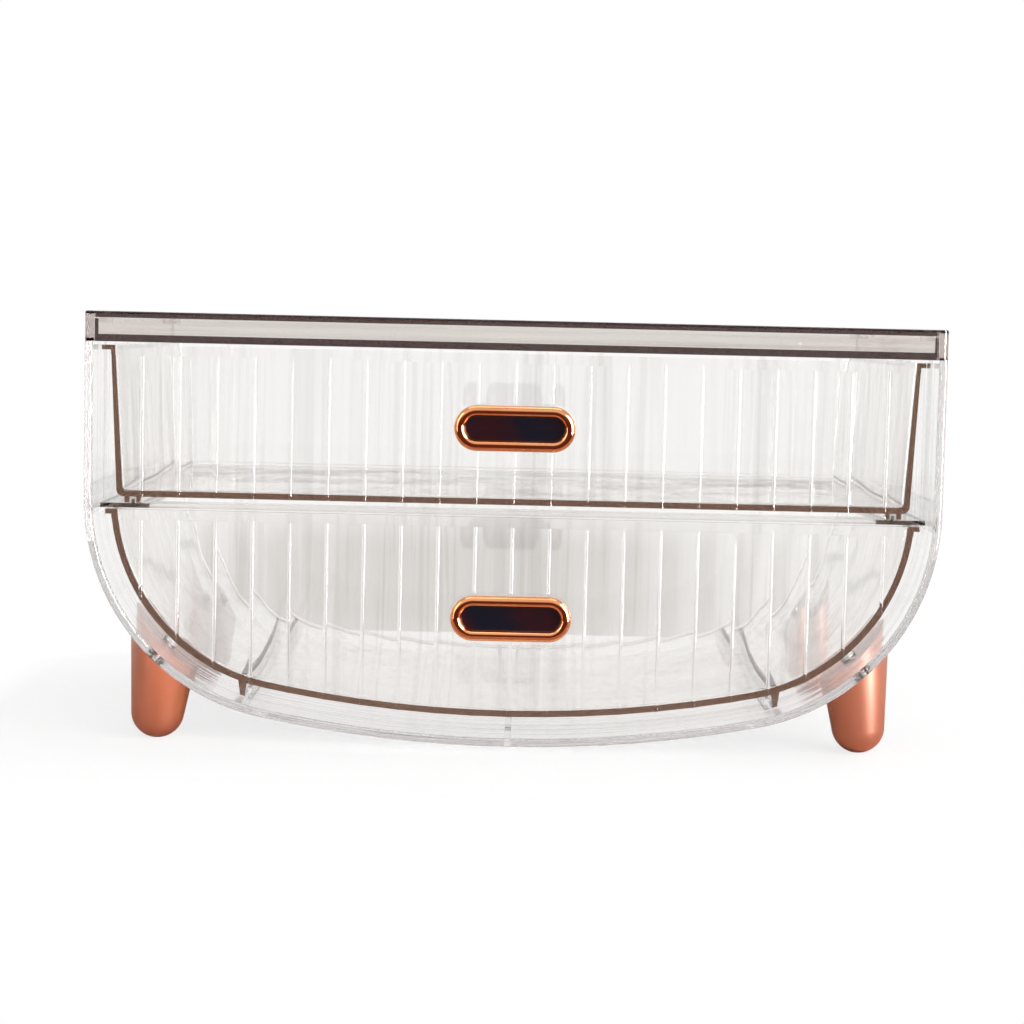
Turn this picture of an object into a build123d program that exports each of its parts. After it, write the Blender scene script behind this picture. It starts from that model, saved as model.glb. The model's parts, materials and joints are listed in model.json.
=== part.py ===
"""A clear drawer box for make-up, with a bowl-shaped front, two fluted drawers, a lid and four feet.

Millimetres. +X is to the right, the drawers face -Y and +Z is up. The origin is on the table,
under the middle of the box.
"""
from build123d import *
from math import atan2, ceil, cos, degrees, radians, sin, sqrt, tan
import os

os.makedirs("parts", exist_ok=True)

# The casing: straight sides, round lower corners and a shallow round bottom
width = 300.0
depth = 188.0
wall = 3.0
side_height = 54.7
bowl_corner = 77.4
bowl_sag = 7.2
rim_round = 1.4
back_round = 2.4

# The feet: leaning, tapered legs with a round end
foot_lift = 4.5
foot_side_inset = 22.0
foot_end_inset = 32.0
foot_tip = 9.6
foot_flat = 0.3
foot_taper = 6.5
foot_splay = 6.0

# The screws that hold the feet, put in from inside the casing
screw_shank = 3.0
screw_head = 5.6
screw_head_height = 1.9
screw_reach = 7.0
screw_seat = 0.4
screw_hole = 3.4
pilot_hole = 3.1
pilot_depth = 7.6
cross_slot = 0.7
cross_length = 3.2
cross_depth = 0.9

# The clear collar on the casing, the tinted top panel inside it, and the lid
collar_corner = 2.0
panel = 2.5
panel_fit = 0.1
panel_rim = 1.3
panel_corner = 0.8
rim_gap = 0.4
lid_height = 8.0
lid_plate = 2.2
lid_flange = 0.8
lid_fit = 0.3
lid_edge = 0.6
block_width = 2.4
block_length = 14.0
block_height = 1.7

# The frame between the drawers, whose wide side strips carry the upper drawer
upper_bay = 57.3
strip = 1.6
strip_width = 16.3
strip_fit = 0.2
strip_setback = 15.5
cross_bar = 12.0
ledge_width = 1.8
ledge_height = 1.6
rail_width = 1.2
rail_height = 1.5
rail_inset = 12.0

# What both drawers share
setback = 14.0
back_gap = 3.0
headroom = 1.3
slide_gap = 0.3
front_wall = 2.6
back_wall = 2.2
lip = 1.7
inner_round = 1.2
flute_pitch = 13.2
flute_depth = 0.3
ridge = 1.3
ridge_rise = 0.35
plain_band = 3.6

# The upper drawer: a tapered tray on twin ribs that straddle the frame's rails
tray_side_gap = 3.8
tray_lean = 2.4
tray_wall_top = 1.0
tray_wall_foot = 1.7
tray_floor = 1.9
tray_round = 2.6
lip_reach = 3.1
rib = 1.8
rib_gap = 2.4
rib_height = 2.1

# The lower drawer: a bowl inside the casing's bowl, on two ribs beside the casing's guide rails
bowl_wall = 1.8
bowl_side_gap = 4.1
bowl_bottom_gap = 5.4
bowl_lip_reach = 1.8
under_frame_gap = 0.5
bowl_rib_inset = 51.8
bowl_rib_root = 3.0
bowl_rib_tip = 1.6
guide_width = 1.6
guide_height = 3.6
middle_rail = 2.4

# The pulls: a rounded ring round a well with a dark inlay, on two pins
pull_length = 43.0
pull_height = 16.2
pull_rise = 4.0
pull_ring = 3.7
pull_outer_round = 1.9
pull_inner_round = 1.3
well_depth = 2.6
inlay = 0.8
inlay_fit = 0.1
inlay_edge = 0.3
pad_margin = 0.8
upper_pull_drop = 26.4
lower_pull_drop = 35.9
pin = 3.0
pin_fit = 0.15
pin_spacing = 26.0
pin_head = 4.6
pin_head_height = 1.1

# Heights above the table
casing_low = foot_lift
bend = casing_low + bowl_sag + bowl_corner
casing_top = bend + side_height
panel_top = casing_top + panel
lid_top = panel_top + lid_height
collar_top = lid_top - lid_flange
strip_top = casing_top - upper_bay
strip_under = strip_top - strip
tray_top = casing_top - headroom
tray_under = strip_top + slide_gap + rib_height
bowl_top = strip_under - under_frame_gap

# Places across and along the box
half = width / 2
inner_half = half - wall
front = -depth / 2
back = depth / 2
back_inside = back - wall
drawer_front = front + setback
drawer_back = back_inside - back_gap
drawer_length = drawer_back - drawer_front
strip_front = front + strip_setback
strip_length = back_inside - strip_fit - strip_front
strip_half = inner_half - strip_fit
tray_half_top = inner_half - tray_side_gap
tray_half_foot = tray_half_top - tray_lean
rail_place = inner_half - rail_inset
bowl_rib_place = inner_half - bowl_rib_inset
foot_spread = half - foot_side_inset
flute_count = 2 * ceil(tray_half_top / flute_pitch)


def upright(y):
    """The plane across the box at y, seen from the front: its own axes are X and Z."""
    return Plane.XZ.offset(-y)


def bowl_shape(half_width, corner, sag):
    """A bowl's corner centre, the radius of its bottom arc, and where they meet, in degrees."""
    centre = half_width - corner
    bottom = corner + sag / 2 + centre**2 / (2 * sag)
    lean = degrees(atan2(centre, bottom - corner - sag))
    return centre, bottom, lean


def bowl_section(half_width, corner, sag, top):
    """Bowl outline: straight sides from the top down to the bend, round corners, a shallow bottom."""
    centre, bottom, lean = bowl_shape(half_width, corner, sag)
    with BuildSketch() as section:
        with BuildLine():
            Polyline((half_width, bend), (half_width, top), (-half_width, top), (-half_width, bend))
            CenterArc((-centre, bend), corner, 180, 90 - lean)
            CenterArc((0, bend - corner - sag + bottom), bottom, 270 - lean, 2 * lean)
            CenterArc((centre, bend), corner, 270 + lean, 90 - lean)
        make_face()
    return section.sketch


def casing_level(place, inset):
    """How high the casing's outline, moved inwards by an inset, lies at a place across the box."""
    corner = bowl_corner - inset
    centre, bottom, lean = bowl_shape(half - inset, corner, bowl_sag)
    if place > bottom * sin(radians(lean)):
        return bend - sqrt(corner**2 - (place - centre) ** 2)
    return bend - corner - bowl_sag + bottom - sqrt(bottom**2 - place**2)


def casing_section(inset):
    """The casing's outline, moved inwards by an even distance."""
    return bowl_section(half - inset, bowl_corner - inset, bowl_sag, casing_top)


def drawer_section(inset):
    """The lower drawer's outline, moved inwards by an even distance."""
    drawer_half = inner_half - bowl_side_gap - inset
    drawer_corner = bowl_corner - wall - bowl_bottom_gap - inset
    return bowl_section(drawer_half, drawer_corner, bowl_sag, casing_top)


def tray_section(half_top, half_foot, under, corner):
    """The upper drawer's outline: sides that lean in a little, and rounded lower corners."""
    with BuildSketch() as section:
        with BuildLine():
            top_corners = [(half_top, tray_top), (-half_top, tray_top)]
            Polyline(*top_corners, (-half_foot, under), (half_foot, under), close=True)
        make_face()
        fillet(section.vertices().group_by(Axis.Y)[0], corner)
    return section.sketch


def flute_section():
    """What the flutes take off a drawer's front, seen from above: hollows between rounded ridges."""
    crest = flute_pitch / 2
    side = crest - ridge / 2
    with BuildSketch() as hollow:
        with BuildLine():
            Polyline((crest, 0), (crest, -ridge_rise), (-crest, -ridge_rise), (-crest, 0))
            TangentArc((-crest, 0), (-side, ridge_rise), tangent=(1, 0))
            ThreePointArc((-side, ridge_rise), (0, ridge_rise + flute_depth), (side, ridge_rise))
            TangentArc((crest, 0), (side, ridge_rise), tangent=(-1, 0))
        make_face()
    with BuildSketch() as row:
        with GridLocations(flute_pitch, 0, flute_count, 1):
            add(hollow.sketch)
    return row.sketch


def front_cuts(top, under, pull_place):
    """What is cut from a drawer's front: the flutes outside the pull's pad, and the pins' holes."""
    with BuildPart() as cuts:
        with BuildSketch(Plane(origin=(0, drawer_front, top - plain_band))):
            add(flute_section())
        extrude(amount=-(top - plain_band - under))
        with BuildSketch(upright(drawer_front)):
            with Locations((0, pull_place)):
                SlotOverall(pull_length + 2 * pad_margin, pull_height + 2 * pad_margin)
        extrude(amount=2 * (ridge_rise + flute_depth), both=True, mode=Mode.SUBTRACT)
        with BuildSketch(upright(drawer_front)):
            with Locations((0, pull_place)):
                with GridLocations(pin_spacing, 0, 2, 1):
                    Circle(pin / 2 + pin_fit)
        extrude(amount=front_wall, both=True)
    return cuts.part


def drawer_room(section):
    """The room inside a drawer, from its front wall to its back wall, with rounded ends."""
    with BuildPart() as room:
        with BuildSketch(upright(drawer_front + front_wall)):
            add(section)
        extrude(amount=-(drawer_length - front_wall - back_wall))
        ends = room.faces().sort_by(Axis.Y)
        fillet(ends[0].edges().sort_by(Axis.Z)[:-1] + ends[-1].edges().sort_by(Axis.Z)[:-1], inner_round)
    return room.part


def foot_crossing():
    """Where a right-hand foot's own axis meets the casing's outside, and the way out of the wall."""
    corner_middle = Vector(half - bowl_corner, 0, bend)
    tip_middle = Vector(foot_spread, 0, foot_tip - foot_flat)
    rising = Vector(-sin(radians(foot_splay)), 0, cos(radians(foot_splay)))
    offset_in = tip_middle - corner_middle
    along = offset_in.dot(rising)
    reach = -along - sqrt(along**2 - offset_in.dot(offset_in) + bowl_corner**2)
    crossing = tip_middle + rising * reach
    return crossing, (crossing - corner_middle).normalized()


crossing, outward = foot_crossing()
foot_places = {
    "foot_front_left": (-1, -1),
    "foot_front_right": (1, -1),
    "foot_rear_left": (-1, 1),
    "foot_rear_right": (1, 1),
}


def screw_plane(side, end, inset):
    """The plane across one screw, at a depth below the casing's outside, facing into the box."""
    out = Vector(side * outward.X, 0, outward.Z)
    place = Vector(side * crossing.X, end * (depth / 2 - foot_end_inset), crossing.Z) - out * inset
    return Plane(origin=place, x_dir=(0, 1, 0), z_dir=-out)


# Casing: the outer shell, open at the front and the top
guide_place = bowl_rib_place - bowl_rib_root / 2 - slide_gap - guide_width / 2
middle_rail_height = bowl_bottom_gap - slide_gap
with BuildPart() as casing:
    with BuildSketch(upright(front)):
        add(casing_section(0))
    extrude(amount=-depth)
    back_edges = casing.faces().sort_by(Axis.Y)[-1].edges().sort_by(Axis.Z)[:-1]
    fillet(back_edges, back_round)
    with BuildSketch(upright(front)):
        add(casing_section(wall))
    extrude(amount=-(depth - wall), mode=Mode.SUBTRACT)
    front_edges = casing.faces().sort_by(Axis.Y)[0].edges()
    fillet(front_edges.filter_by(lambda edge: edge.center().Z < casing_top - wall), rim_round)
    # Ledges under the frame's side strips
    with BuildSketch(upright(strip_front)):
        with Locations((inner_half, strip_under), (-inner_half, strip_under)):
            Rectangle(2 * ledge_width, ledge_height, align=(Align.CENTER, Align.MAX))
    extrude(amount=-(back_inside - strip_front))
    # Guides inside the lower drawer's ribs, and a rail under its middle
    with BuildSketch(upright(strip_front)):
        with Locations((guide_place, bend), (-guide_place, bend)):
            Rectangle(guide_width, bowl_corner + bowl_sag, align=(Align.CENTER, Align.MAX))
        add(casing_section(wall / 2), mode=Mode.INTERSECT)
        add(casing_section(wall + guide_height), mode=Mode.SUBTRACT)
        with Locations((0, casing_low + wall / 2)):
            rail_align = (Align.CENTER, Align.MIN)
            Rectangle(middle_rail, wall / 2 + middle_rail_height, align=rail_align)
    extrude(amount=-(back_inside - strip_front))
    # Screw holes, with a flat seat for each head
    with Locations(*[screw_plane(side, end, wall).location for side, end in foot_places.values()]):
        CounterBoreHole(screw_hole / 2, screw_head / 2 + slide_gap, screw_seat, depth=2 * wall)
casing.part.label = "casing"
export_step(casing.part, "parts/casing.step")

# Collar: a clear ring on the casing's top edge, around the top panel and the lid's plate
with BuildPart() as collar:
    with BuildSketch(Plane.XY.offset(casing_top)):
        RectangleRounded(width, depth, collar_corner)
        Rectangle(width - 2 * wall, depth - 2 * wall, mode=Mode.SUBTRACT)
    extrude(amount=collar_top - casing_top)
collar.part.label = "collar"
export_step(collar.part, "parts/collar.step")

# Top panel: it closes the casing inside the collar, and its thin rim makes a shallow tray
panel_inset = wall + panel_fit
rim_height = lid_height - lid_plate - rim_gap
with BuildPart() as top_panel:
    with BuildSketch(Plane.XY.offset(casing_top)):
        RectangleRounded(width - 2 * panel_inset, depth - 2 * panel_inset, panel_corner)
    extrude(amount=panel + rim_height)
    with BuildSketch(Plane.XY.offset(panel_top)):
        rim_inset = panel_inset + panel_rim
        Rectangle(width - 2 * rim_inset, depth - 2 * rim_inset)
    extrude(amount=rim_height, mode=Mode.SUBTRACT)
top_panel.part.label = "top_panel"
export_step(top_panel.part, "parts/top_panel.step")

# Lid: a plate inside the collar, a thin flange on the collar's edge, and a block in each corner
plate_inset = wall + lid_fit
block_inset = rim_inset + lid_fit
with BuildPart() as lid:
    with BuildSketch(Plane.XY.offset(collar_top)):
        RectangleRounded(width, depth, collar_corner)
    extrude(amount=lid_flange)
    fillet(lid.faces().sort_by(Axis.Z)[-1].edges(), lid_edge)
    with BuildSketch(Plane.XY.offset(lid_top - lid_plate)):
        RectangleRounded(width - 2 * plate_inset, depth - 2 * plate_inset, panel_corner)
    extrude(amount=lid_plate - lid_flange)
    with BuildSketch(Plane.XY.offset(lid_top - lid_plate)):
        across = width - 2 * block_inset - block_width
        along = depth - 2 * block_inset - block_length
        with GridLocations(across, along, 2, 2):
            Rectangle(block_width, block_length)
    extrude(amount=-block_height)
lid.part.label = "lid"
export_step(lid.part, "parts/lid.step")

# Runner frame: wide side strips on the casing's ledges, joined by a bar in front and behind
with BuildPart() as runner_frame:
    with BuildSketch(upright(strip_front)):
        with Locations((0, strip_under)):
            Rectangle(2 * strip_half, strip, align=(Align.CENTER, Align.MIN))
        with Locations((rail_place, strip_top), (-rail_place, strip_top)):
            Rectangle(rail_width, rail_height, align=(Align.CENTER, Align.MIN))
    extrude(amount=-strip_length)
    with BuildSketch(Plane(origin=(0, strip_front + cross_bar, strip_under))):
        window_align = (Align.CENTER, Align.MIN)
        Rectangle(2 * (strip_half - strip_width), strip_length - 2 * cross_bar, align=window_align)
    extrude(amount=strip, mode=Mode.SUBTRACT)
runner_frame.part.label = "runner_frame"
export_step(runner_frame.part, "parts/runner_frame.step")

# Upper drawer: side lips at the top, twin ribs below, a fluted front with a flat pad for the pull
upper_pull_place = tray_top - upper_pull_drop
twin = (rib + rib_gap) / 2
with BuildPart() as upper_drawer:
    with BuildSketch(upright(drawer_front)):
        add(tray_section(tray_half_top, tray_half_foot, tray_under, tray_round))
        with Locations((tray_half_top, tray_top), (-tray_half_top, tray_top)):
            Rectangle(2 * lip_reach, lip, align=(Align.CENTER, Align.MAX))
        with Locations((rail_place, tray_under), (-rail_place, tray_under)):
            with Locations((-twin, 0), (twin, 0)):
                Rectangle(rib, 2 * rib_height)
    extrude(amount=-drawer_length)
    tray_inside = tray_section(
        tray_half_top - tray_wall_top,
        tray_half_foot - tray_wall_foot,
        tray_under + tray_floor,
        tray_round - tray_wall_top,
    )
    add(drawer_room(tray_inside), mode=Mode.SUBTRACT)
    add(front_cuts(tray_top, tray_under - rib_height, upper_pull_place), mode=Mode.SUBTRACT)
upper_drawer.part.label = "upper_drawer"
export_step(upper_drawer.part, "parts/upper_drawer.step")

# Lower drawer: a bowl with side lips, and a rib that tapers downwards below each side
lower_pull_place = bowl_top - lower_pull_drop
rib_foot = casing_level(bowl_rib_place, wall)
rib_lean = degrees(atan2(bowl_bottom_gap, (bowl_rib_root - bowl_rib_tip) / 2))
with BuildPart() as lower_drawer:
    with BuildSketch(upright(drawer_front)):
        # Each rib starts in the bowl's wall and is cut off just above the casing
        with Locations((bowl_rib_place, rib_foot), (-bowl_rib_place, rib_foot)):
            rib_width = bowl_rib_tip + 2 * (bowl_rib_root - bowl_rib_tip)
            rib_align = (Align.CENTER, Align.MAX)
            Trapezoid(rib_width, 2 * bowl_bottom_gap, rib_lean, rotation=180, align=rib_align)
        add(casing_section(wall + slide_gap), mode=Mode.INTERSECT)
        add(drawer_section(0))
        with Locations((inner_half - bowl_side_gap, bowl_top), (bowl_side_gap - inner_half, bowl_top)):
            Rectangle(2 * bowl_lip_reach, lip, align=(Align.CENTER, Align.MAX))
    extrude(amount=-drawer_length)
    add(drawer_room(drawer_section(bowl_wall)), mode=Mode.SUBTRACT)
    split(bisect_by=Plane.XY.offset(bowl_top), keep=Keep.BOTTOM)
    add(front_cuts(bowl_top, casing_low, lower_pull_place), mode=Mode.SUBTRACT)
lower_drawer.part.label = "lower_drawer"
export_step(lower_drawer.part, "parts/lower_drawer.step")

# Pulls and their dark inlays, one of each on either drawer
for drawer, place in {"upper": upper_pull_place, "lower": lower_pull_place}.items():
    with BuildPart() as pull:
        with BuildSketch(upright(drawer_front)):
            with Locations((0, place)):
                SlotOverall(pull_length, pull_height)
        extrude(amount=pull_rise)
        fillet(pull.faces().sort_by(Axis.Y)[0].edges(), pull_outer_round)
        with BuildSketch(upright(drawer_front - pull_rise)):
            with Locations((0, place)):
                SlotOverall(pull_length - 2 * pull_ring, pull_height - 2 * pull_ring)
        extrude(amount=-well_depth, mode=Mode.SUBTRACT)
        fillet(pull.faces().sort_by(Axis.Y)[0].inner_wires()[0].edges(), pull_inner_round)
        with BuildSketch(upright(drawer_front)):
            with Locations((0, place)):
                with GridLocations(pin_spacing, 0, 2, 1):
                    Circle(pin / 2)
        extrude(amount=-front_wall)
        with BuildSketch(upright(drawer_front + front_wall)):
            with Locations((0, place)):
                with GridLocations(pin_spacing, 0, 2, 1):
                    Circle(pin_head / 2)
        extrude(amount=-pin_head_height)
    pull.part.label = f"{drawer}_pull"
    export_step(pull.part, f"parts/{drawer}_pull.step")

    with BuildPart() as dark_inlay:
        with BuildSketch(upright(drawer_front - pull_rise + well_depth)):
            with Locations((0, place)):
                inlay_inset = pull_ring + inlay_fit
                SlotOverall(pull_length - 2 * inlay_inset, pull_height - 2 * inlay_inset)
        extrude(amount=inlay)
        fillet(dark_inlay.faces().sort_by(Axis.Y)[0].edges(), inlay_edge)
    dark_inlay.part.label = f"{drawer}_inlay"
    export_step(dark_inlay.part, f"parts/{drawer}_inlay.step")

# Feet: each leans outwards, is cut to the casing's curve and has a pilot hole for its screw
with BuildPart() as casing_block:
    with BuildSketch(upright(front)):
        add(casing_section(0))
    extrude(amount=-depth)
for name, (side, end) in foot_places.items():
    middle = (side * foot_spread, end * (depth / 2 - foot_end_inset), foot_tip - foot_flat)
    leaning = (cos(radians(foot_splay)), 0, side * sin(radians(foot_splay)))
    foot_plane = Plane(origin=middle, x_dir=leaning, z_dir=(0, -1, 0))
    with BuildPart() as foot:
        with BuildSketch(foot_plane):
            with BuildLine():
                # The cone runs on into the casing, whose outline then cuts it off
                taper = radians(foot_taper)
                meeting = (foot_tip * cos(taper), -foot_tip * sin(taper))
                edge = (meeting[0] + (bowl_corner - meeting[1]) * tan(taper), bowl_corner)
                CenterArc((0, 0), foot_tip, 270, 90 - foot_taper)
                Polyline(meeting, edge, (0, bowl_corner), (0, -foot_tip))
            make_face()
        revolve(axis=Axis(foot_plane.origin, foot_plane.y_dir))
        split(bisect_by=Plane.XY, keep=Keep.TOP)
        add(casing_block.part, mode=Mode.SUBTRACT)
        with Locations(screw_plane(side, end, 0).location):
            Hole(pilot_hole / 2, depth=pilot_depth)
    foot.part.label = name
    export_step(foot.part, f"parts/{name}.step")

# Screws for the feet: a low round head with a cross, and a plain shank
with BuildPart() as screw:
    Cylinder(screw_head / 2, screw_head_height, align=(Align.CENTER, Align.CENTER, Align.MIN))
    fillet(screw.edges().sort_by(Axis.Z)[-1], screw_head_height / 2)
    with Locations((0, 0, screw_head_height)):
        cross_align = (Align.CENTER, Align.CENTER, Align.MAX)
        Box(cross_length, cross_slot, cross_depth, align=cross_align, mode=Mode.SUBTRACT)
        Box(cross_slot, cross_length, cross_depth, align=cross_align, mode=Mode.SUBTRACT)
    shank_align = (Align.CENTER, Align.CENTER, Align.MAX)
    Cylinder(screw_shank / 2, wall - screw_seat + screw_reach, align=shank_align)
with BuildPart() as foot_screws:
    screw_places = [screw_plane(side, end, wall - screw_seat) for side, end in foot_places.values()]
    with Locations(*[plane.location for plane in screw_places]):
        add(screw.part)
foot_screws.part.label = "foot_screws"
export_step(foot_screws.part, "parts/foot_screws.step")
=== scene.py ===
"""The clear make-up box in a plain pale studio: finishes, floor, lights and camera.

Metres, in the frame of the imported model. The drawers face -Y and +Z is up.
"""
import json
from math import radians

import bpy
from mathutils import Euler, Matrix, Vector


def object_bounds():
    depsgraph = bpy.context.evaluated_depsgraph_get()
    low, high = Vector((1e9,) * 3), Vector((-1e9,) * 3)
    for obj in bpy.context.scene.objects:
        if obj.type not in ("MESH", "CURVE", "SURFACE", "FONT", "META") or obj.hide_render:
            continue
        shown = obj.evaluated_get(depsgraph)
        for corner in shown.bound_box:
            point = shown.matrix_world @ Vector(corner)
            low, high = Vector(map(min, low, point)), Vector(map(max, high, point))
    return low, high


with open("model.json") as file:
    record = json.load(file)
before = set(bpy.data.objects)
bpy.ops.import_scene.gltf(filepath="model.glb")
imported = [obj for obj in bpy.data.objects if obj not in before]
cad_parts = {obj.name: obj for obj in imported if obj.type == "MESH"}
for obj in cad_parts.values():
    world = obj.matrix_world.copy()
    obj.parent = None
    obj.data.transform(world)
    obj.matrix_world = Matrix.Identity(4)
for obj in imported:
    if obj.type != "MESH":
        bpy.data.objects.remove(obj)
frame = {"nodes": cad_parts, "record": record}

cad_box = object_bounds()
scene = bpy.context.scene
MM = 0.001
MICRON = 0.000001

# The camera's place, tilt and lens, fitted to the photograph's outline
IMAGE_SIDE = 1024
SENSOR = 36.0
FOCAL_PIXELS = 2261.0
EYE = Vector((-3.7, -880.0, 151.3)) * MM
LOOK_DOWN = 4.63
LOOK_RIGHT = 0.24
ROLL = 1.32
NEAREST = 0.01
FURTHEST = 50


def make_camera():
    """The photograph's view: a long lens at the lid's height, tipped a little clockwise."""
    data = bpy.data.cameras.new("camera")
    data.sensor_width = SENSOR
    data.lens = FOCAL_PIXELS / IMAGE_SIDE * SENSOR
    data.clip_start = NEAREST
    data.clip_end = FURTHEST
    camera = bpy.data.objects.new("camera", data)
    turn = Euler((radians(90 - LOOK_DOWN), 0, radians(-LOOK_RIGHT)), "XYZ").to_matrix()
    roll = Matrix.Rotation(radians(ROLL), 3, "Z")
    camera.matrix_world = Matrix.Translation(EYE) @ (turn @ roll).to_4x4()
    scene.collection.objects.link(camera)
    scene.camera = camera


class Tree:
    """A short way to add and link the nodes of one material or world."""

    MIX_FACTOR = 0
    MIX_FIRST = 6
    MIX_SECOND = 7
    MIX_RESULT = 2

    def __init__(self, owner):
        owner.use_nodes = True
        self.owner = owner
        self.tree = owner.node_tree
        self.tree.nodes.clear()

    def add(self, kind, sockets=None, **settings):
        """Adds a node with its own settings. Sockets, by name or number, are linked to outputs or set."""
        node = self.tree.nodes.new(kind)
        for name, value in settings.items():
            setattr(node, name, value)
        for socket, value in (sockets or {}).items():
            if isinstance(value, bpy.types.NodeSocket):
                self.tree.links.new(value, node.inputs[socket])
            else:
                node.inputs[socket].default_value = value
        return node

    def finish(self, sockets, **filling):
        """Ends a material with its main shader, and with a Volume where it has one. Returns the material."""
        shader = self.add("ShaderNodeBsdfPrincipled", sockets)
        self.add("ShaderNodeOutputMaterial", {"Surface": shader.outputs[0], **filling})
        return self.owner

    def math(self, operation, *values):
        return self.add("ShaderNodeMath", dict(enumerate(values)), operation=operation).outputs[0]

    def ramp(self, value, low, high, start=0.0, end=1.0):
        """Start below the low value and end above the high one, with a smooth change between."""
        sockets = dict(enumerate((value, low, high, start, end)))
        return self.add("ShaderNodeMapRange", sockets, interpolation_type="SMOOTHSTEP").outputs[0]

    def band(self, value, rise, fall, most=1.0):
        """Nothing outside the rise and the fall, which are ranges of the value, and most between them."""
        return self.math("MULTIPLY", self.ramp(value, *rise), self.ramp(value, *fall, most, 0.0))

    def mix_colour(self, factor, first, second):
        sockets = {self.MIX_FACTOR: factor, self.MIX_FIRST: first, self.MIX_SECOND: second}
        return self.add("ShaderNodeMix", sockets, data_type="RGBA").outputs[self.MIX_RESULT]

    def split(self, vector):
        """A vector's three values, as outputs named X, Y and Z."""
        return self.add("ShaderNodeSeparateXYZ", {0: vector}).outputs

    def place(self, kind):
        """The point or direction that is being shaded, such as Object, Normal or Generated."""
        return self.add("ShaderNodeTexCoord").outputs[kind]

    def noise(self, place, patches, detail=2.0, roughness=0.5, stretch=(1, 1, 1)):
        """Soft noise between 0 and 1, with so many patches to a metre, drawn out where stretch is small."""
        mapping = self.add("ShaderNodeMapping", {"Vector": place, "Scale": stretch})
        node = self.add("ShaderNodeTexNoise", {
            "Vector": mapping.outputs[0],
            "Scale": patches,
            "Detail": detail,
            "Roughness": roughness,
        })
        return node.outputs["Fac"]

    def bump(self, pattern, height, under=None):
        """A normal that shows the pattern at a height, on top of the bumps under it."""
        sockets = {"Height": pattern, "Strength": 1.0, "Distance": height}
        if under is not None:
            sockets["Normal"] = under
        return self.add("ShaderNodeBump", sockets).outputs[0]


def grey(value):
    return (value, value, value, 1.0)


# Where noise, between 0 and 1, turns from its least to its most effect
CLOUDS = (0.3, 0.7)
HAZE_PATCHES = (0.35, 0.75)
STREAK_LINES = (0.44, 0.66)
STREAK_BARS = (0.40, 0.62)
# Where the inlay's painted reflection tints turn from blue-black to red-black
PAINTED_REFLECTION_TINTS = (0.35, 0.65)

# How the lines and streaks in clear plastic lie: the smaller the number, the longer along X, Y or Z
UPRIGHT = (1, 0.3, 0.035)
LEVEL = (0.03, 0.3, 2.2)
ROUND_ABOUT = (0.02, 0.9, 0.02)

# Clear plastic's other properties
PLASTIC_IOR = 1.49
NO_TINT = (1.0, 1.0, 0.997, 1)
SMALL_RIPPLE = 0.12
HAZE_SPREAD = 2.2
ABSORB_MARGIN = 1.05
FACING_FRONT_OR_BACK = (0.3, 0.7)

# The two colours that each of the other finishes wanders between
POLISHED_ROSE = (0.84, 0.38, 0.18, 1)
POLISHED_ROSE_DEEP = (0.78, 0.32, 0.14, 1)
SATIN_ROSE = (0.53, 0.142, 0.052, 1)
SATIN_ROSE_DEEP = (0.48, 0.123, 0.043, 1)
# Blue-black and red-black: the inlay's base colour wanders between them as a painted reflection of coloured
# surroundings
BLUE_BLACK = (0.005, 0.010, 0.021, 1)
RED_BLACK = (0.027, 0.008, 0.012, 1)
ZINC = (0.80, 0.79, 0.78, 1)
ZINC_PALE = (0.90, 0.89, 0.88, 1)


def clear_plastic(name, absorb, ripple, ridges, streak, haze, run=UPRIGHT, tint=NO_TINT, shell=False):
    """Moulded clear plastic: wavy, faintly streaked along its flow, and tinted where it is seen edge-on.

    absorb is how much of each colour is taken off per metre. ripple and ridges are the heights of the waves
    and of the lines along the flow. tint is the colour of a wall, and streak its colour where a streak is
    strongest. haze is its least roughness. A shell has no streaks on faces that look forwards or back.
    """
    tree = Tree(bpy.data.materials.new(name))
    place = tree.place("Object")
    flow = tree.noise(place, patches=22, detail=1.0, stretch=(1, 1, 0.45))
    ripples = tree.noise(place, patches=120, stretch=(1, 1, 0.6))
    lines = tree.noise(place, patches=230, stretch=run)
    bars = tree.noise(place, patches=30, detail=1.0, stretch=run)
    fine = tree.noise(place, patches=900, detail=3.0)
    waves = tree.bump(flow, ripple)
    waves = tree.bump(ripples, ripple * SMALL_RIPPLE, waves)
    waves = tree.bump(lines, ridges, waves)
    streaks = tree.math("MULTIPLY", tree.ramp(lines, *STREAK_LINES), tree.ramp(bars, *STREAK_BARS))
    if shell:
        facing = tree.math("ABSOLUTE", tree.split(tree.place("Normal"))["Y"])
        aside = tree.ramp(facing, *FACING_FRONT_OR_BACK, 1.0, 0.0)
        streaks = tree.math("MULTIPLY", streaks, aside)
    density = max(absorb) * ABSORB_MARGIN
    left_over = tuple(1 - one / density for one in absorb) + (1,)
    volume = tree.add("ShaderNodeVolumeAbsorption", {"Color": left_over, "Density": density})
    return tree.finish({
        "Base Color": tree.mix_colour(streaks, tint, streak),
        "Roughness": tree.ramp(fine, *HAZE_PATCHES, haze, haze * HAZE_SPREAD),
        "IOR": PLASTIC_IOR,
        "Transmission Weight": 1.0,
        "Normal": waves,
    }, Volume=volume.outputs[0])


def casing_plastic():
    """Nearly colourless, with fine grey lines that run round the shell."""
    return clear_plastic(
        "casing_clear",
        absorb=(0.8, 0.95, 1.0),
        ripple=10 * MICRON,
        ridges=50 * MICRON,
        streak=(0.70, 0.69, 0.67, 1),
        haze=0.012,
        run=ROUND_ABOUT,
        shell=True,
    )


def collar_plastic():
    """A warm grey tint, with faint pinkish streaks along the top edge."""
    return clear_plastic(
        "collar_clear",
        absorb=(2.4, 3.0, 3.2),
        ripple=30 * MICRON,
        ridges=10 * MICRON,
        streak=(0.72, 0.68, 0.67, 1),
        haze=0.012,
        run=LEVEL,
        tint=(0.885, 0.870, 0.850, 1),
    )


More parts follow.
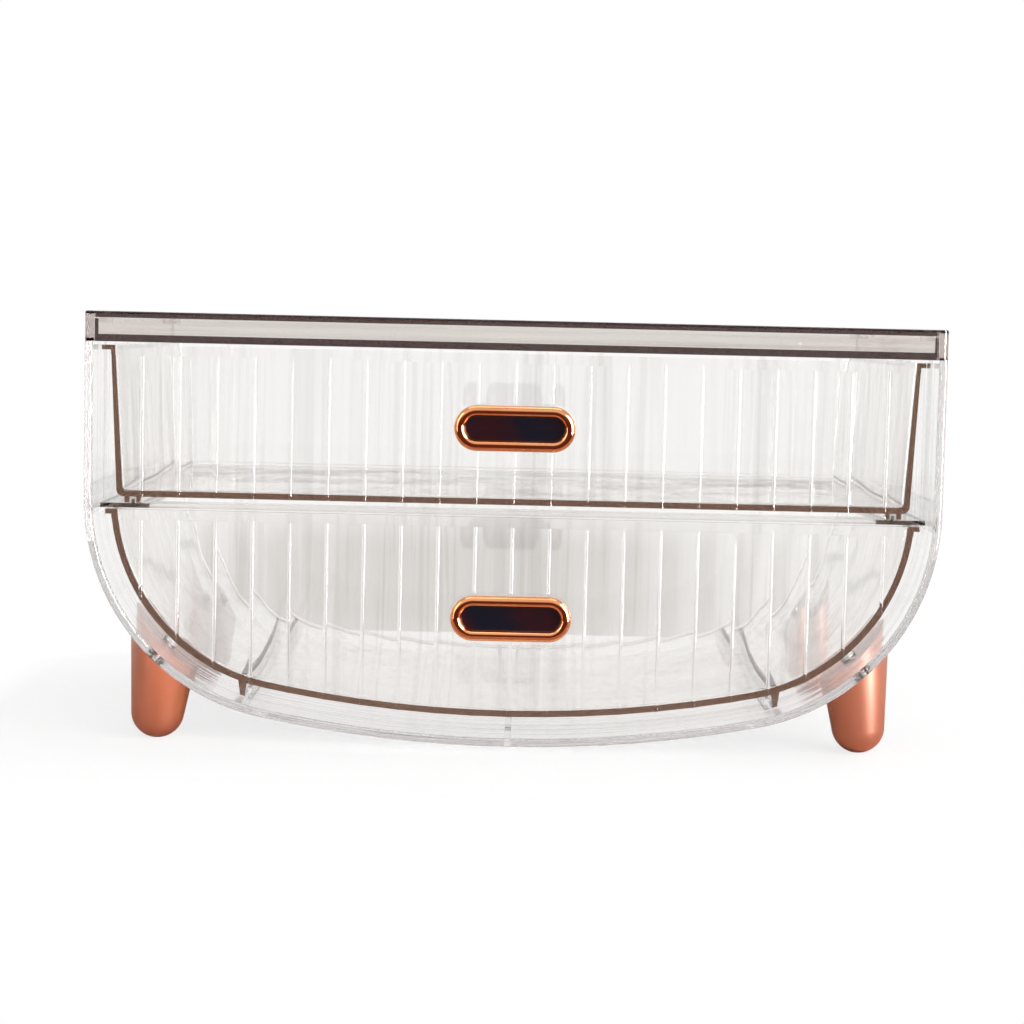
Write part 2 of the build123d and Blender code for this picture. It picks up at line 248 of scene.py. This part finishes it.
def runner_plastic():
    """A little frosted, so that its ends show as plain dark lines."""
    return clear_plastic(
        "runner_clear",
        absorb=(4.5, 6.0, 7.0),
        ripple=10 * MICRON,
        ridges=10 * MICRON,
        streak=(0.98, 0.978, 0.975, 1),
        haze=0.10,
    )


def drawer_plastic():
    """Wavy, with upright streaks, and brown where a wall is seen edge-on."""
    return clear_plastic(
        "drawer_clear",
        absorb=(9.8, 12.8, 14.6),
        ripple=120 * MICRON,
        ridges=40 * MICRON,
        streak=(0.915, 0.912, 0.908, 1),
        haze=0.014,
    )


def lid_plastic():
    """The lid and the top panel: nearly black where their edges are seen."""
    return clear_plastic(
        "lid_clear",
        absorb=(15.5, 20.5, 21.0),
        ripple=60 * MICRON,
        ridges=10 * MICRON,
        streak=(0.93, 0.91, 0.91, 1),
        haze=0.010,
        run=LEVEL,
    )


def rose_polish():
    """The pulls: polished rose-gold plating, a little uneven, with polish marks and faint orange peel."""
    tree = Tree(bpy.data.materials.new("pull_polish"))
    place = tree.place("Object")
    cloud = tree.noise(place, patches=60, detail=3.0)
    marks = tree.noise(place, patches=1600, detail=4.0, roughness=0.65)
    peel = tree.noise(place, patches=700, detail=1.0)
    return tree.finish({
        "Base Color": tree.mix_colour(tree.ramp(cloud, *CLOUDS), POLISHED_ROSE, POLISHED_ROSE_DEEP),
        "Metallic": 1.0,
        "Roughness": tree.ramp(marks, *CLOUDS, 0.064, 0.10),
        "Normal": tree.bump(marks, 2 * MICRON, tree.bump(peel, 10 * MICRON)),
    })


def foot_paint():
    """The feet's satin rose-gold finish: metallic paint with faint clouding under a soft clear coat."""
    tree = Tree(bpy.data.materials.new("foot_satin"))
    place = tree.place("Object")
    cloud = tree.noise(place, patches=45)
    grain = tree.noise(place, patches=1800, detail=3.0, roughness=0.6)
    return tree.finish({
        "Base Color": tree.mix_colour(tree.ramp(cloud, *CLOUDS), SATIN_ROSE, SATIN_ROSE_DEEP),
        "Metallic": 0.35,
        "Roughness": tree.ramp(grain, *CLOUDS, 0.32, 0.40),
        "Coat Weight": 1.0,
        "Coat IOR": 1.9,
        "Coat Roughness": 0.28,
        "Normal": tree.bump(grain, 3 * MICRON),
    })


def dark_gloss():
    """The pulls' dark middle: a dark gloss, faintly clouded, whose base colour wanders between blue-black
    and red-black as a painted reflection of coloured surroundings.
    """
    tree = Tree(bpy.data.materials.new("inlay_dark"))
    place = tree.place("Object")
    cloud = tree.noise(place, patches=180, detail=3.0)
    painted_reflection_tint = tree.noise(place, patches=60)
    return tree.finish({
        "Base Color": tree.mix_colour(tree.ramp(painted_reflection_tint, *PAINTED_REFLECTION_TINTS), BLUE_BLACK, RED_BLACK),
        "Roughness": tree.ramp(cloud, *CLOUDS, 0.05, 0.11),
        "IOR": 1.5,
        "Coat Weight": 0.2,
        "Coat Roughness": 0.03,
        "Normal": tree.bump(cloud, 10 * MICRON),
    })


def plated_steel():
    """The screws: pale bright zinc with a fine grain."""
    tree = Tree(bpy.data.materials.new("screw_steel"))
    grain = tree.noise(tree.place("Object"), patches=2500, detail=3.0)
    return tree.finish({
        "Base Color": tree.mix_colour(grain, ZINC, ZINC_PALE),
        "Metallic": 0.35,
        "Roughness": tree.ramp(grain, *CLOUDS, 0.30, 0.45),
        "Normal": tree.bump(grain, 10 * MICRON),
    })


def dress_nodes():
    """Gives every CAD piece the finish of its slot, and the collar and the runner frame their own."""
    slots = {
        "clear_casing": casing_plastic(),
        "clear_drawer": drawer_plastic(),
        "clear_lid": lid_plastic(),
        "foot_metal": foot_paint(),
        "pull_metal": rose_polish(),
        "dark_inlay": dark_gloss(),
        "steel": plated_steel(),
    }
    own = {"collar": collar_plastic(), "runner_frame": runner_plastic()}
    for part in frame["record"]["subparts"]:
        name = part["node"]
        materials = frame["nodes"][name].data.materials
        materials.clear()
        materials.append(own.get(name, slots[part["material_slot"]]))


# The floor: pale under the box, with painted light lifting its shadow there, and turning into plain white
# away from it
FLOOR_SIDE = 0.30
FLOOR_FRONT = -0.22
FLOOR_REAR = 0.24
FLOOR_COLOUR = 0.93
FLOOR_MIRRORED = (0.50, 0.29, 0.25, 1)
WHITE_BY = 0.07
SHADOW_LIFT = 0.76


def beyond_box(tree):
    """How far a point lies outside the box, seen from above."""
    place = tree.split(tree.add("ShaderNodeNewGeometry").outputs["Position"])
    squares = []
    for axis, limit in zip("XY", cad_box[1]):
        outside = tree.math("SUBTRACT", tree.math("ABSOLUTE", place[axis]), limit)
        squares.append(tree.math("POWER", tree.math("MAXIMUM", outside, 0.0), 2.0))
    return tree.math("SQRT", tree.math("ADD", *squares))


def floor_finish():
    """Matt and pale, glowing white where it is seen away from the box, and with painted light lifting its
    shadow under it. Gloss shows it warm and dim.
    """
    tree = Tree(bpy.data.materials.new("floor_pale"))
    path = tree.add("ShaderNodeLightPath").outputs
    colour = tree.mix_colour(path["Is Glossy Ray"], grey(FLOOR_COLOUR), FLOOR_MIRRORED)
    matt = tree.add("ShaderNodeBsdfDiffuse", {"Color": colour})
    glow = tree.add("ShaderNodeEmission", {"Color": grey(1.0), "Strength": 1.0})
    # Painted light: camera and transmission rays see at least SHADOW_LIFT of a white glow, also under and
    # beside the box, which lightens the box's shadow
    white = tree.math("MAXIMUM", tree.ramp(beyond_box(tree), 0.0, WHITE_BY), SHADOW_LIFT)
    seen = tree.math("MAXIMUM", path["Is Camera Ray"], path["Is Transmission Ray"])
    lit = tree.math("MULTIPLY", white, seen)
    mix = tree.add("ShaderNodeMixShader", {0: lit, 1: matt.outputs[0], 2: glow.outputs[0]})
    tree.add("ShaderNodeOutputMaterial", {"Surface": mix.outputs[0]})
    return tree.owner


def make_floor():
    mesh = bpy.data.meshes.new("floor")
    corners = [(-FLOOR_SIDE, FLOOR_FRONT, 0), (FLOOR_SIDE, FLOOR_FRONT, 0)]
    corners += [(FLOOR_SIDE, FLOOR_REAR, 0), (-FLOOR_SIDE, FLOOR_REAR, 0)]
    mesh.from_pydata(corners, [], [(0, 1, 2, 3)])
    mesh.materials.append(floor_finish())
    floor = bpy.data.objects.new("floor", mesh)
    scene.collection.objects.link(floor)


# The room as a light: dimmer on the left. Directions run from -1 to 1 across, along and up.
ROOM_SIDES = (-0.8, 0.8)
ROOM_LIGHT_LEFT = 0.38
ROOM_LIGHT_RIGHT = 1.05

# The room in a mirror: dim and warm in front, paler behind and white above
ROOM_FRONT = (0.14, 0.045, 0.025, 1)
ROOM_BEHIND = 0.75
FRONT_TO_BEHIND = (-0.5, 0.3)
WHITE_ABOVE = (0.05, 0.32)
INSIDE_BAND = 0.45
INSIDE_BAND_RISE = (-0.26, -0.22)
INSIDE_BAND_FALL = (0.0, 0.04)

# The room through plastic: white, with a shade low down and dusk just above eye level, both behind the box
SHADE = (0.72, 0.705, 0.685, 1)
SHADE_RISE = (-0.18, -0.12)
SHADE_FALL = (-0.10, -0.07)
SHADE_LEFT = 0.015
SHADE_ENDS = (0.04, 0.19)
DUSK = 0.70
DUSK_RISE = (0.050, 0.058)
DUSK_FALL = (0.062, 0.072)


def mirrored_room(tree, path, along, up):
    """What gloss shows. Inside the plastic it shows a pale band below eye level as well."""
    room = tree.mix_colour(tree.ramp(along, *FRONT_TO_BEHIND), ROOM_FRONT, grey(ROOM_BEHIND))
    inside = tree.math("GREATER_THAN", path["Transmission Depth"], 0.5)
    band = tree.math("MULTIPLY", tree.band(up, INSIDE_BAND_RISE, INSIDE_BAND_FALL, INSIDE_BAND), inside)
    return tree.mix_colour(tree.math("MAXIMUM", tree.ramp(up, *WHITE_ABOVE), band), room, grey(1.0))


def room_through_plastic(tree, across, along, up):
    """What shows through clear walls."""
    behind = tree.math("GREATER_THAN", along, 0.0)
    aside = tree.math("ABSOLUTE", tree.math("ADD", across, SHADE_LEFT))
    middle = tree.ramp(aside, *SHADE_ENDS, 1.0, 0.0)
    shade = tree.math("MULTIPLY", tree.band(up, SHADE_RISE, SHADE_FALL), middle)
    shade = tree.math("MULTIPLY", shade, behind)
    dusk = tree.math("MULTIPLY", tree.band(up, DUSK_RISE, DUSK_FALL), behind)
    return tree.mix_colour(shade, tree.mix_colour(dusk, grey(1.0), grey(DUSK)), SHADE)


def make_world():
    """White behind the box, and a room of its own for light, for gloss and for clear plastic."""
    world = bpy.data.worlds.new("studio")
    scene.world = world
    tree = Tree(world)
    across, along, up = tree.split(tree.place("Generated"))
    path = tree.add("ShaderNodeLightPath").outputs
    light = tree.mix_colour(tree.ramp(across, *ROOM_SIDES), grey(ROOM_LIGHT_LEFT), grey(ROOM_LIGHT_RIGHT))
    mirrored = mirrored_room(tree, path, along, up)
    through = room_through_plastic(tree, across, along, up)
    colour = tree.mix_colour(path["Is Glossy Ray"], light, mirrored)
    colour = tree.mix_colour(path["Is Transmission Ray"], colour, through)
    colour = tree.mix_colour(path["Is Camera Ray"], colour, grey(1.0))
    background = tree.add("ShaderNodeBackground", {"Color": colour, "Strength": 1.0})
    tree.add("ShaderNodeOutputWorld", {"Surface": background.outputs[0]})


LIGHTS_AIM = Vector((0, 0, 0.08))


def soft_light(name, place, size, watts, shines=True):
    """A soft box aimed at the box. One that doesn't shine shows only in gloss and through plastic."""
    data = bpy.data.lights.new(name, "AREA")
    data.shape = "RECTANGLE"
    data.size, data.size_y = size
    data.energy = watts
    light = bpy.data.objects.new(name, data)
    light.visible_camera = False
    light.visible_diffuse = shines
    light.location = place
    light.rotation_euler = (LIGHTS_AIM - Vector(place)).to_track_quat("-Z", "Y").to_euler()
    scene.collection.objects.link(light)


def make_lights():
    """A ceiling light, a light on each side, and a strip on each side for the highlights."""
    soft_light("overhead_light", (0.0, -0.1, 1.6), size=(1.4, 1.0), watts=9.0)
    soft_light("left_light", (-1.2, -0.9, 0.7), size=(0.5, 1.0), watts=1.2)
    soft_light("right_light", (0.62, -0.42, 0.28), size=(0.25, 0.5), watts=1.7)
    soft_light("left_strip", (-1.1, -0.95, 0.45), size=(0.12, 1.3), watts=5.0, shines=False)
    soft_light("right_strip", (1.2, -0.98, 0.45), size=(0.55, 1.3), watts=120.0, shines=False)


# How often a ray may pass or meet a surface: enough to cross every wall of both drawers and the casing
MOST_BOUNCES = 64
MOST_TRANSPARENT = 16


def set_light_paths():
    scene.cycles.max_bounces = MOST_BOUNCES
    scene.cycles.transmission_bounces = MOST_BOUNCES
    scene.cycles.glossy_bounces = MOST_BOUNCES
    scene.cycles.transparent_max_bounces = MOST_TRANSPARENT
    scene.cycles.use_denoising = True
    scene.view_settings.view_transform = "Standard"


make_camera()
make_world()
make_lights()
make_floor()
dress_nodes()
set_light_paths()
